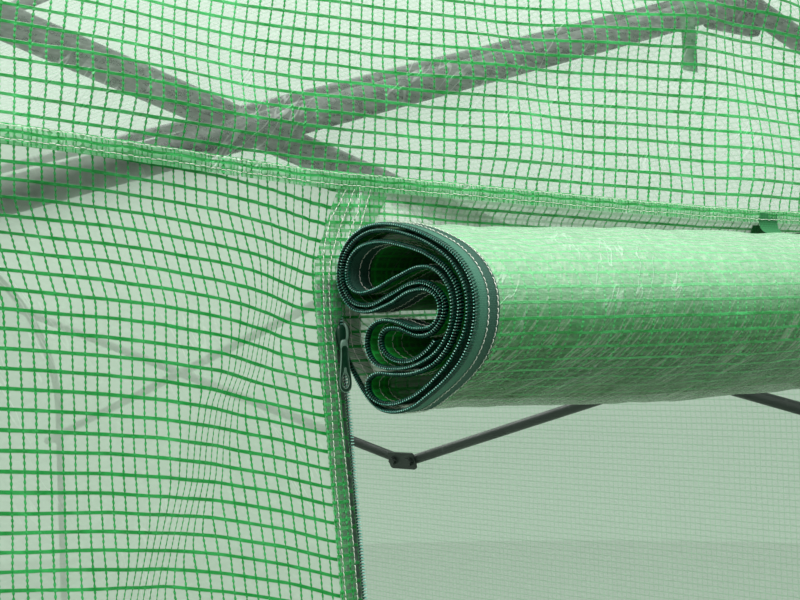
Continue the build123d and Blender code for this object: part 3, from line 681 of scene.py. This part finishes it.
def woven_tape(name, dark, light, ribs, scale=1.0, edge=0.004):
    """Woven band on its own map: fine ribs along it, picks across, and painted light along its
    first edge, up to 0.36 to 0.41 along it.
    """
    finish, base = new_finish(name)
    flat = base.add("TexCoord", output="UV")
    across, along, _ = flat.axes()
    rib = (across * (2 * pi / ribs)).math("SINE")
    pick = (along * (2 * pi / (0.0009 * scale)) + rib * 1.3).math("SINE")
    weave = rib * 0.5 + pick * 0.5
    fuzz = base.noise(flat, 900.0, 3.0)
    # Painted light: paler along the first edge, where the tape faces the light, up to 0.36 to 0.41
    # along the band.
    pale = across.rise(edge, edge * 1.5, 0.55, 0.0) * along.rise(0.36, 0.41, 1.0, 0.0)
    colour = (weave * 0.28 + fuzz * 0.6 - 0.1 + pale).tint(dark, light)
    normal = base.add("Bump", {"Strength": 0.8, "Distance": 0.0003,
                               "Height": weave * 0.5 + fuzz * 0.5})
    shader = base.add("BsdfPrincipled", {"Base Color": colour, "Roughness": 0.7, "Normal": normal})
    base.add("OutputMaterial", {0: shader})
    return finish


zip_nylon = nylon("zip_nylon", rgb(1, 48, 37), rgb(6, 80, 64))
# Tooth heads painted pale as glints: the coil's own nylon, painted lighter where it catches the
# light.
zip_head_glints = nylon("zip_head_glints", rgb(104, 196, 176), rgb(184, 238, 224))
# The core cord inside each door coil, coloured near black as painted shade in the gaps between the
# turns.
zip_core_shade = nylon("zip_core_shade", rgb(0, 14, 10), rgb(2, 24, 18))
zip_tape = woven_tape("zip_tape", rgb(8, 56, 44), rgb(54, 112, 90), 0.0011)
thread_white = nylon("thread_white", rgb(206, 208, 196), rgb(240, 240, 230))


def stitch_row(points, normal, pitch=0.0034, gap=0.0005, height=0.0005):
    """Paths of a row of lockstitches: each is an arch between two needle holes in the cloth."""
    run = run_along(points)
    count = int(run[-1] / pitch)
    start = (np.arange(count) * pitch)[:, None] + np.linspace(gap / 2, pitch - gap / 2, 5)[None, :]
    place = np.stack([np.interp(start, run, points[:, k]) for k in range(3)], axis=-1)
    lift = np.stack([np.interp(start, run, normal[:, k]) for k in range(3)], axis=-1)
    rise = np.sin(np.linspace(0, pi, 5))[None, :, None]
    stray = 0.00025 * np.sin(np.arange(count) * 2.4)[:, None, None] * np.roll(lift, 1, axis=2)
    return place + lift * (height * rise - 0.0001) + stray


def roll_edge(offset, lift, side, spacing=0.0015):
    """Line on the rolled strip at a distance in from its coil, with the strip's own normal."""
    line, run = along_line(ROLL_LINE, spacing)
    way = np.gradient(line, run, axis=0)
    way /= np.linalg.norm(way, axis=1)[:, None]
    end = door_half(run) - offset
    out, z = rolled(line, run, np.array([DOOR_HALF - offset]), lift)
    centre = np.stack([side * end, ROLL_Y - out[:, 0], z[:, 0]], axis=-1)
    normal = np.stack([0 * run, -way[:, 1], way[:, 0]], axis=-1)
    return centre, normal, run


for side, word in ((-1, "left"), (1, "right")):
    centre, normal, run = roll_edge(-COIL_W / 2, 0.0, side)
    keep = run > 0.1
    path, ahead_of = coil_path(centre[keep], normal[keep])
    coil = strands("door_coil_" + word, path[None], 0.00042, zip_nylon, 5, ahead_of[None])
    tips = path[TURN_STEPS // 2::TURN_STEPS] if side < 0 else path[::TURN_STEPS]
    bead = np.linspace(-1, 1, 5)[None, :, None] * 0.00034
    outward = normal[keep][np.linspace(0, keep.sum() - 1, len(tips)).astype(int)]
    beads = tips[:, None] + side * 0.0004 * ACROSS + outward[:, None] * bead
    # Tooth heads in the pale painted-glint finish.
    heads = strands("door_heads_" + word, beads, 0.00025, zip_head_glints, 6)
    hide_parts("door_zip_" + word)
    # Core strip inside the door coil, near black as painted shade between the turns.
    core_in = np.array([-0.0036, -0.0008])
    rows = centre[keep][:, None] - side * (core_in + COIL_W / 2)[None, :, None] * ACROSS
    core = cloth("door_core_" + word, rows, np.zeros(rows.shape[:2] + (2,)), zip_core_shade)
    tape_in = np.array([-0.0036, 0.0, 0.007, 0.0142])
    tape_lift = np.array([-0.0006, -0.0008, -0.0009, -0.0008])
    rows = np.stack([roll_edge(inset, lift, side, 0.0028)[0]
                     for inset, lift in zip(tape_in, tape_lift)], axis=1)
    run = roll_edge(0.0, 0.0, side, 0.0028)[2]
    uv = np.stack(np.broadcast_arrays(tape_in[None, :], run[:, None]), axis=-1)
    rows, uv = rows[run > 0.06], uv[run > 0.06]
    tape = cloth("door_tape_" + word, rows, uv, zip_tape, flip=side < 0)
    threads = []
    for inset, lift in ((0.0055, 0.0003), (0.0124, 0.0003), (0.0055, -0.0012), (0.0124, -0.0012)):
        centre, normal, run = roll_edge(inset, lift, side)
        threads.append(stitch_row(centre, normal * np.sign(lift)))
    seams = strands("door_stitches_" + word, np.concatenate(threads), 0.00023, thread_white, 4)

    heights = np.linspace(0.003, ZIP_TOP, 900)
    middle_x = ZIP_X - jamb_lean(heights)
    jamb = np.stack([side * middle_x, FRONT + 0.0001 - jamb_sway(heights), heights], axis=-1)
    path, ahead_of = coil_path(jamb, np.broadcast_to(OUTWARD, jamb.shape))
    coil = strands("jamb_coil_" + word, path[None], 0.00045, zip_nylon, 5, ahead_of[None])
    tips = path[::TURN_STEPS] if side < 0 else path[TURN_STEPS // 2::TURN_STEPS]
    beads = tips[:, None] + np.linspace(-1, 1, 5)[None, :, None] * (0.0011 * side * ACROSS)
    beads = beads + 0.0012 * side * ACROSS + 0.0011 * OUTWARD
    # Tooth heads in the pale painted-glint finish.
    heads = strands("jamb_heads_" + word, beads, 0.00028, zip_head_glints, 6)
    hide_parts("jamb_zip_" + word)
    across = np.array([0.0, 0.006, 0.0145])
    rows = jamb[:, None] + side * across[None, :, None] * ACROSS - 0.0016 * OUTWARD
    uv = np.stack(np.broadcast_arrays(across[None, :], heights[:, None]), axis=-1)
    tape = cloth("jamb_tape_" + word, rows, uv, zip_tape, flip=side < 0)

# Jamb hems: the edge of each panel folded back over the zip tape and sewn with two rows. At the
# top the door's own tapes run up under it, and the corner is drawn in with two more rows.
hem_film = grid_film("hem_film", clear=0.2, second=0.8, milky=rgb(150, 200, 160), crinkle=1.8,
                     glow=0.3)
HEM_INNER = 0.4382
HEM_OUTER = 0.4512
HEM_TOP = 1.7275
row_near = ([0, 1.5545, 1.60, 1.651, 1.6716, 1.6819, 1.6944, 1.7039, 1.7177, 1.727],
            [0.4396, 0.4396, 0.4410, 0.4447, 0.4451, 0.4434, 0.4388, 0.4344, 0.4270, 0.4220])
row_far = ([0, 1.5545, 1.60, 1.651, 1.6716, 1.6819, 1.6932, 1.7068, 1.7158, 1.727],
           [0.4483, 0.4483, 0.4468, 0.4493, 0.4491, 0.4487, 0.4469, 0.4423, 0.4352, 0.4280])
row_door = ([1.685, 1.703, 1.7116, 1.727], [0.4345, 0.4263, 0.4211, 0.4190])
row_inner = ([1.685, 1.7043, 1.7118, 1.727], [0.4285, 0.4194, 0.4162, 0.4100])
for side, word in ((-1, "left"), (1, "right")):
    heights = np.linspace(0.0, HEM_TOP, 520)[:, None]
    step = np.linspace(0.0, 1.0, 14)[None, :]
    drawn = np.interp(heights, [1.642, 1.65, 1.67, 1.69, HEM_TOP], [0, 0.006, 0.009, 0.02, 0.028])
    inner = HEM_INNER - jamb_lean(heights) - drawn
    outer = HEM_OUTER - jamb_lean(heights)
    x = inner + step * (outer - inner)
    puff = 0.0006 * np.sin(pi * step) * (1 + 0.5 * np.sin(heights * 700))
    tucks = 0.0005 * np.sin(x * 1900 + heights * 300) * smooth(heights, 1.66, 1.70)
    y = FRONT - 0.0021 - jamb_sway(heights) - puff - tucks
    points = np.stack(np.broadcast_arrays(side * x, y, heights), axis=-1)
    uv = np.stack(np.broadcast_arrays(x * 1.3, heights), axis=-1)
    hem = cloth("film_hem_" + word, points, uv, hem_film, flip=side < 0)
    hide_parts("jamb_hem_" + word)
    threads = []
    for places, across in (row_near, row_far, row_door, row_inner):
        heights = np.arange(places[0], places[-1], 0.001)
        line = np.stack([side * np.interp(heights, places, across),
                         FRONT - 0.0031 - jamb_sway(heights), heights], axis=-1)
        threads.append(stitch_row(line, np.broadcast_to(OUTWARD, line.shape)))
    seams = strands("jamb_stitches_" + word, np.concatenate(threads), 0.00024, thread_white, 4)

# Header seam: the gable film laps over the panels and the door, doubled in a narrow band and
# sewn through with two rows of thread.
seam_film = grid_film("seam_film", clear=0.66, second=0.8, milky=rgb(120, 196, 138), crinkle=1.8,
                      glow=0.2)
SEAM_LOW = -0.0024
SEAM_HIGH = 0.0078
band_x = np.linspace(-GABLE_HALF, GABLE_HALF, 500)
band_up = np.linspace(SEAM_LOW, SEAM_HIGH, 9)
x, up = np.meshgrid(band_x, band_up, indexing="ij")
pucker = 0.0005 * np.sin(x * 900) + 0.0006 * np.sin(x * 260)
y = FRONT - 0.0032 - 0.0008 * np.sin(pi * np.maximum(up, 0) / SEAM_HIGH) - pucker * 0.6
z = seam_z(x) + up
uv = np.stack([x * 1.6 + 0.0022 * np.sin(x * 310) + 0.0016 * np.sin(x * 730 + 1),
               up * 1.3 + 0.0005 * np.sin(x * 200)], axis=-1)
band = cloth("film_header_seam", np.stack([x, y, z], axis=-1), uv, seam_film)
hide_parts("header_seam")
threads = []
for row in (0.0001, 0.0067):
    line = np.stack([band_x, np.full(band_x.shape, FRONT - 0.0043),
                     seam_z(band_x) + row + 0.0002 * np.sin(band_x * 90)], axis=-1)
    threads.append(stitch_row(line, np.broadcast_to(OUTWARD, line.shape)))
seams = strands("header_stitches", np.concatenate(threads), 0.0003, thread_white, 4)

# Zip sliders and pulls: a die-cast body round the coil with a bridge on its front, and a long
# tab with an eye that hangs from it. Dark green lacquer, paler on the bridge and the tab's raised
# rims.
slider_lacquer = powder_coat("slider_lacquer", rgb(12, 58, 38), rgb(44, 88, 68), 2600.0)
slider_pale = powder_coat("slider_pale", rgb(116, 150, 132), rgb(180, 200, 188), 2600.0)
TAB = np.array([(0, 0), (1.8, -0.3), (2.6, -1.5), (2.8, -6), (3.2, -12), (3.9, -18), (4.4, -23),
                (4.5, -26), (3.9, -28.4), (2.3, -30), (0, -30.5)]) / 1000
TAB_TOP = 1.6371
EYE = np.array([0.0, -0.0238])
SLIDER_Z = 1.6388
BODY_SIDES = 24
for side, word in ((-1, "left"), (1, "right")):
    slide_x = side * 0.4342
    levels = np.array([7.2, 6.6, 4.5, 1.5, -1.5, -4.0, -6.2, -7.0, -7.2]) / 1000
    half_w = np.array([1.2, 4.0, 5.0, 4.9, 4.3, 3.8, 3.6, 3.0, 1.2]) / 1000
    half_t = np.array([0.5, 1.8, 2.4, 2.5, 2.4, 2.3, 2.2, 1.8, 0.5]) / 1000
    turn = np.arange(BODY_SIDES) * 2 * pi / BODY_SIDES
    round_x = np.sign(np.cos(turn)) * np.abs(np.cos(turn)) ** 0.6
    round_y = np.sign(np.sin(turn)) * np.abs(np.sin(turn)) ** 0.6
    rings = np.stack(np.broadcast_arrays(slide_x + half_w[:, None] * round_x,
                                         FRONT - 0.0008 + half_t[:, None] * round_y,
                                         SLIDER_Z + levels[:, None]), axis=-1)
    skin = grid_faces(len(levels), BODY_SIDES, flip=True, wrap=True)
    body = make_mesh("slider_body_" + word, rings, skin, slider_lacquer)
    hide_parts("zip_slider_" + word)
    arc = np.linspace(0, pi, 15)
    arch = np.stack([0 * arc + slide_x, FRONT - 0.0028 - 0.0026 * np.sin(arc),
                     1.6405 + 0.0054 * np.cos(arc)], axis=-1)
    bridge = strands("slider_bridge_" + word, arch[None], 0.0009, slider_pale, 8, ACROSS)
    half, _ = along_line(TAB, 0.0013)
    outline = np.concatenate([half, half[-2:0:-1] * np.array([-1.0, 1.0])])
    angle = np.arctan2(outline[:, 1] - EYE[1], outline[:, 0])
    eye = EYE + np.stack([0.0026 * np.cos(angle), 0.0039 * np.sin(angle)], axis=-1)
    share = np.array([0, 0, 0.07, 0.18, 0.24, 0.7, 0.8, 0.95, 1, 1, 0.5, 0])[:, None, None]
    proud = np.array([0, 0.5, 0.9, 0.9, 0.5, 0.5, 0.8, 0.8, 0.4, -0.4, -0.6, 0])[:, None] / 1000
    flat = outline + (eye - outline) * share
    rings = np.stack(np.broadcast_arrays(slide_x + side * 0.0032 + flat[..., 0],
                                         FRONT - 0.0056 - proud, TAB_TOP + flat[..., 1]), axis=-1)
    skin = grid_faces(*rings.shape[:2], wrap=True)
    tab = make_mesh("slider_tab_" + word, rings, skin, slider_lacquer)
    tab.data.materials.append(slider_pale)
    rim = np.isin(np.arange(11), (1, 2, 6, 7)).repeat(len(outline)).astype(np.int32)
    tab.data.polygons.foreach_set("material_index", rim)
    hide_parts("zip_pull_" + word)

# Roll tie and cover straps: green polyester webbing, sewn on by its ends. The tie goes from the
# header seam over the roll, under it and up behind to the seam again.
webbing = woven_tape("webbing", rgb(16, 92, 46), rgb(44, 150, 84), 0.0022, 2.0)


def ribbon(name, path, width):
    """Strap along a path, flat across the tunnel, with its own map."""
    run = run_along(path)
    across = np.linspace(-width / 2, width / 2, 5)
    points = path[:, None] + across[None, :, None] * ACROSS
    uv = np.stack(np.broadcast_arrays(across[None, :] + 0.02, run[:, None]), axis=-1)
    strap = cloth("strap_" + name, points, uv, webbing)
    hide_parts(name)


low_end, high_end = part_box("roll_tie")
tie_x = (low_end[0] + high_end[0]) / 2
tie_line, tie_run = along_line(ROLL_LINE, 0.004)
tie_out, tie_z = rolled(tie_line, tie_run, np.array([tie_x]), -0.0018)
loop = (tie_run > 0.115) & (tie_run < 0.37)
seam_top = float(seam_z(tie_x))
path = np.concatenate([[(0.0042, seam_top + 0.005), (0.0046, seam_top - 0.006)],
                       np.stack([tie_out[loop, 0], tie_z[loop, 0]], axis=-1)[::-1],
                       [(-0.0112, 1.655), (-0.008, 1.70), (-0.002, seam_top - 0.004)]])
path, _ = along_line(path, 0.004)
path = np.stack([np.full(len(path), tie_x), ROLL_Y - path[:, 0], path[:, 1]], axis=-1)
ribbon("roll_tie", path, high_end[0] - low_end[0])
for word in ("left", "right"):
    low_end, high_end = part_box("cover_strap_" + word)
    fall = np.linspace(0, 1, 30)
    middle = [(a + b) / 2 for a, b in zip(low_end, high_end)]
    path = np.stack([middle[0] + 0 * fall, middle[1] + 0.0008 * np.sin(fall * 5),
                     high_end[2] + (low_end[2] - high_end[2]) * fall], axis=-1)
    ribbon("cover_strap_" + word, path, high_end[0] - low_end[0])

# Floor and light: a plain pale floor, a wide soft light overhead and an even pale surround.
FLOOR_R = 9
FLOOR_SIDES = 64
floor_finish, base = new_finish("floor_pale")
speckle = base.noise(base.add("TexCoord", output="Object"), 3.0, 4.0)
pale = speckle.tint(rgb(158, 178, 161), rgb(166, 186, 169))
shader = base.add("BsdfPrincipled", {"Base Color": pale, "Roughness": 0.85})
base.add("OutputMaterial", {0: shader})
turn = np.arange(FLOOR_SIDES) * 2 * pi / FLOOR_SIDES
rim = np.stack([FLOOR_R * np.cos(turn), FLOOR_R * np.sin(turn), 0 * turn - 0.0005], axis=-1)
floor_mesh = bpy.data.meshes.new("floor")
floor_mesh.from_pydata(rim.tolist(), [], [list(range(FLOOR_SIDES))])
floor_mesh.materials.append(floor_finish)
floor = bpy.data.objects.new("floor", floor_mesh)
bpy.context.collection.objects.link(floor)


def soft_light(name, place, aim, size, power):
    """Square soft box that faces a point."""
    lamp = bpy.data.lights.new(name, "AREA")
    lamp.size = size
    lamp.energy = power
    holder = bpy.data.objects.new(name, lamp)
    holder.location = place
    holder.rotation_euler = (Vector(aim) - Vector(place)).to_track_quat("-Z", "Y").to_euler()
    bpy.context.collection.objects.link(holder)


soft_light("overhead", (-0.6, FRONT - 1.2, 4.4), (0, FRONT, 1.4), 3.0, 190)
soft_light("back_sky", (0.8, 3.4, 4.2), (0, 0.5, 1.2), 3.0, 130)

world = bpy.data.worlds.new("surround")
bpy.context.scene.world = world
world.use_nodes = True
world.node_tree.nodes.clear()
base = Shade(world.node_tree)
rays = base.add("LightPath").out.node.outputs
seen = Shade(world.node_tree, rays["Is Camera Ray"])
for ray in ("Is Glossy Ray", "Is Transmission Ray"):
    seen = seen.math("MAXIMUM", Shade(world.node_tree, rays[ray]))
upward = base.add("TexCoord", output="Generated").axes()[2]
sky = upward.rise(-0.2, 0.8).tint((0.07, 0.09, 0.07, 1.0), (1.0, 1.0, 1.0, 1.0))
lit = base.add("Background", {"Color": sky, "Strength": 0.95})
shown = base.add("Background", {"Color": rgb(171, 193, 175), "Strength": 1.0})
base.add("OutputWorld", {0: base.add("MixShader", {0: seen, 1: lit, 2: shown})})

bpy.context.scene.view_settings.view_transform = "Standard"
